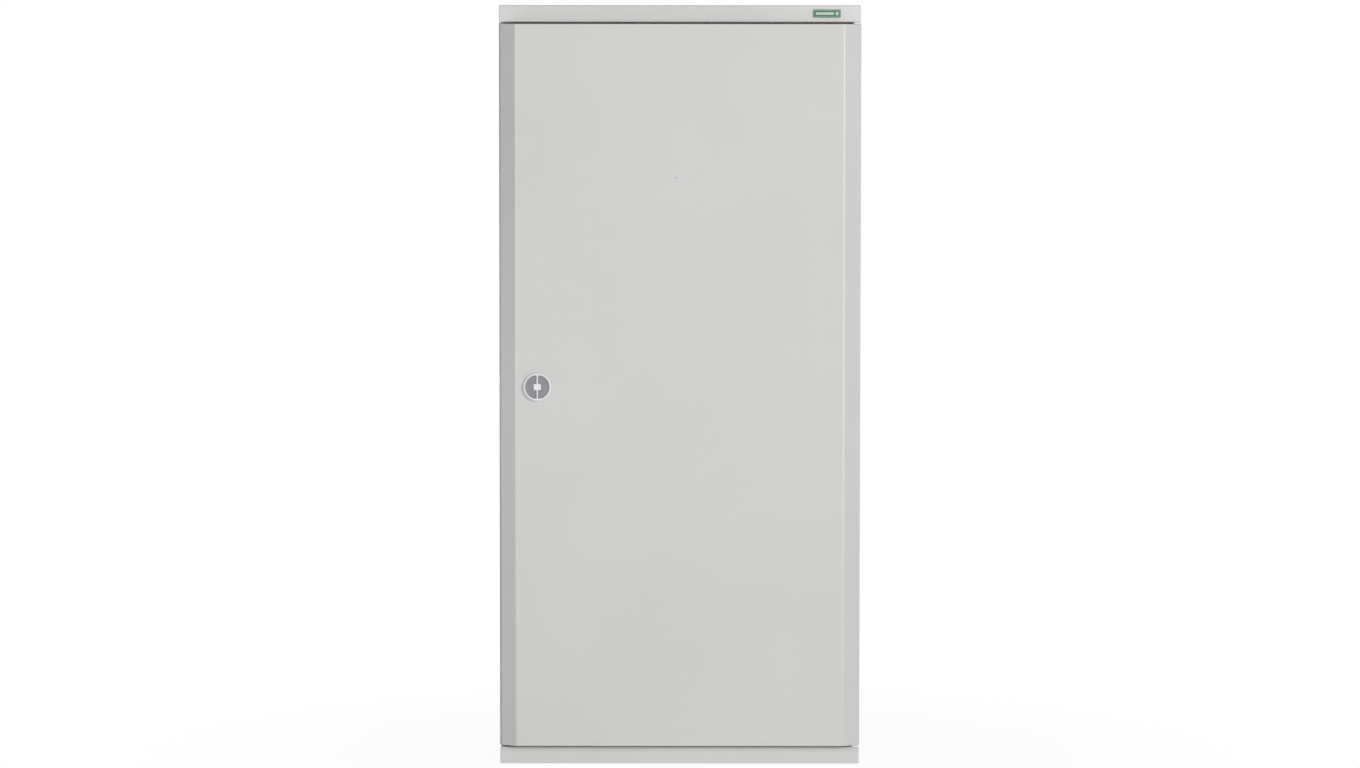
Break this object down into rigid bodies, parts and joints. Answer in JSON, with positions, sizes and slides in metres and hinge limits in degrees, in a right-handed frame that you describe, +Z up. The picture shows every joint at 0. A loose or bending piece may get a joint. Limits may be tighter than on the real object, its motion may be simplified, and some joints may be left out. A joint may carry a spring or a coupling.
{
  "type": "electrical distribution cabinet",
  "caption": "Tall sheet-steel switchboard cabinet with a bevelled hinged door, a round turn handle driving lock rods, and rail-mounted breakers behind cover plates.",
  "frame": {"origin": "centre of the cabinet's footprint, shell only, on the plane of its underside", "axes": "+Z up, the door faces -Y, +Y points into the wall, +X is the hinge side"},
  "size_m": [0.6, 0.187, 1.26],
  "materials": {
    "powder_coat": "light grey fine-textured powder coat, satin",
    "zinc_plate": "zinc-plated sheet, dull sheen",
    "pin_steel": "turned steel, plated",
    "brass": "plain drawn brass",
    "seal_foam": "closed-cell foam",
    "handle_plastic": "light grey moulded, satin",
    "handle_inset": "mid grey moulded, matt",
    "bush_plastic": "white bearing plastic",
    "badge_green": "plain green plate with a pale rim, blank",
    "device_plastic": "light grey moulded housing",
    "lever_black": "black moulded",
    "lever_red": "red moulded",
    "button_blue": "blue moulded",
    "plate_paint": "pale grey smooth powder coat",
    "blanking_plastic": "light grey moulded strip",
    "insulator": "dark grey moulded",
    "gland_plastic": "mid grey moulded entry plate",
    "pocket_plastic": "grey moulded document pocket",
    "wire_insulation": "green insulation with a yellow stripe"
  },
  "bodies": {
    "cabinet": {"back_panel": "powder_coat", "side_panel_left": "powder_coat", "side_panel_right": "powder_coat", "top_cover": "powder_coat", "bottom_cover": "powder_coat", "frame_upright_left": "zinc_plate", "frame_upright_right": "zinc_plate", "din_rail_main": "zinc_plate", "din_rail_upper": "zinc_plate", "din_rail_lower": "zinc_plate", "hinge_pin_top": "pin_steel", "hinge_pin_bottom": "pin_steel", "neutral_bar": "brass", "earth_bar": "brass", "hinge_bush_top": "bush_plastic", "hinge_bush_bottom": "bush_plastic", "name_badge": "badge_green", "main_switch": "device_plastic", "residual_current_device": "device_plastic", "breaker_1": "device_plastic", "breaker_2": "device_plastic", "breaker_3": "device_plastic", "breaker_4": "device_plastic", "breaker_5": "device_plastic", "breaker_6": "device_plastic", "cover_plate_1": "plate_paint", "cover_plate_2": "plate_paint", "cover_plate_3": "plate_paint", "cover_plate_4": "plate_paint", "blanking_strip_main": "blanking_plastic", "blanking_strip_upper": "blanking_plastic", "blanking_strip_lower": "blanking_plastic", "bar_support_left": "insulator", "bar_support_right": "insulator", "top_gland_plate": "gland_plastic", "bottom_gland_plate": "gland_plastic", "earth_wire": "wire_insulation"},
    "door": {"door_panel": "powder_coat", "door_gasket": "seal_foam", "door_stiffener": "zinc_plate", "rod_guide_upper": "insulator", "rod_guide_lower": "insulator", "document_pocket": "pocket_plastic", "lock_housing": "insulator", "lock_case": "zinc_plate"},
    "handle": {"turn_handle": "handle_plastic", "handle_disc": "handle_inset", "lock_spindle": "pin_steel", "lock_tongue": "zinc_plate"},
    "upper_rod": {"lock_rod_upper": "zinc_plate"},
    "lower_rod": {"lock_rod_lower": "zinc_plate"},
    "main_lever": {"main_switch_lever": "lever_red"},
    "residual_lever": {"residual_current_lever": "lever_black"},
    "test_push": {"test_button": "button_blue"},
    "lever_1": {"breaker_lever_1": "lever_black"},
    "lever_2": {"breaker_lever_2": "lever_black"},
    "lever_3": {"breaker_lever_3": "lever_black"},
    "lever_4": {"breaker_lever_4": "lever_black"},
    "lever_5": {"breaker_lever_5": "lever_black"},
    "lever_6": {"breaker_lever_6": "lever_black"}
  },
  "joints": [
    {"name": "door_swing", "type": "hinge", "parent": "cabinet", "child": "door", "pos_m": [0.292, -0.064, 0.63], "axis": [0, 0, 1], "range_deg": [0, 120], "deforming": ["earth_wire"]},
    {"name": "handle_turn", "type": "hinge", "parent": "door", "child": "handle", "pos_m": [-0.2357, -0.09, 0.63], "axis": [0, 1, 0], "range_deg": [0, 90]},
    {"name": "upper_rod_slide", "type": "slide", "parent": "door", "child": "upper_rod", "axis": [0, 0, 1], "range_m": [0, 0.019]},
    {"name": "lower_rod_slide", "type": "slide", "parent": "door", "child": "lower_rod", "axis": [0, 0, -1], "range_m": [0, 0.019]},
    {"name": "main_lever_tilt", "type": "hinge", "parent": "cabinet", "child": "main_lever", "pos_m": [-0.175, -0.0365, 1.065], "axis": [1, 0, 0], "range_deg": [0, 70]},
    {"name": "residual_lever_tilt", "type": "hinge", "parent": "cabinet", "child": "residual_lever", "pos_m": [-0.119, -0.0365, 1.065], "axis": [1, 0, 0], "range_deg": [0, 70]},
    {"name": "test_button_push", "type": "slide", "parent": "cabinet", "child": "test_push", "axis": [0, 1, 0], "range_m": [0, 0.0015]},
    {"name": "lever_1_tilt", "type": "hinge", "parent": "cabinet", "child": "lever_1", "pos_m": [-0.18375, -0.0365, 0.775], "axis": [1, 0, 0], "range_deg": [0, 70]},
    {"name": "lever_2_tilt", "type": "hinge", "parent": "cabinet", "child": "lever_2", "pos_m": [-0.13125, -0.0365, 0.775], "axis": [1, 0, 0], "range_deg": [0, 70]},
    {"name": "lever_3_tilt", "type": "hinge", "parent": "cabinet", "child": "lever_3", "pos_m": [-0.07875, -0.0365, 0.775], "axis": [1, 0, 0], "range_deg": [0, 70]},
    {"name": "lever_4_tilt", "type": "hinge", "parent": "cabinet", "child": "lever_4", "pos_m": [-0.02625, -0.0365, 0.775], "axis": [1, 0, 0], "range_deg": [0, 70]},
    {"name": "lever_5_tilt", "type": "hinge", "parent": "cabinet", "child": "lever_5", "pos_m": [-0.18375, -0.0365, 0.485], "axis": [1, 0, 0], "range_deg": [0, 70]},
    {"name": "lever_6_tilt", "type": "hinge", "parent": "cabinet", "child": "lever_6", "pos_m": [-0.13125, -0.0365, 0.485], "axis": [1, 0, 0], "range_deg": [0, 70]}
  ],
  "couplings": [
    {"joint": "upper_rod_slide", "follows": "handle_turn", "m_per_rad": 0.012},
    {"joint": "lower_rod_slide", "follows": "handle_turn", "m_per_rad": 0.012}
  ]
}
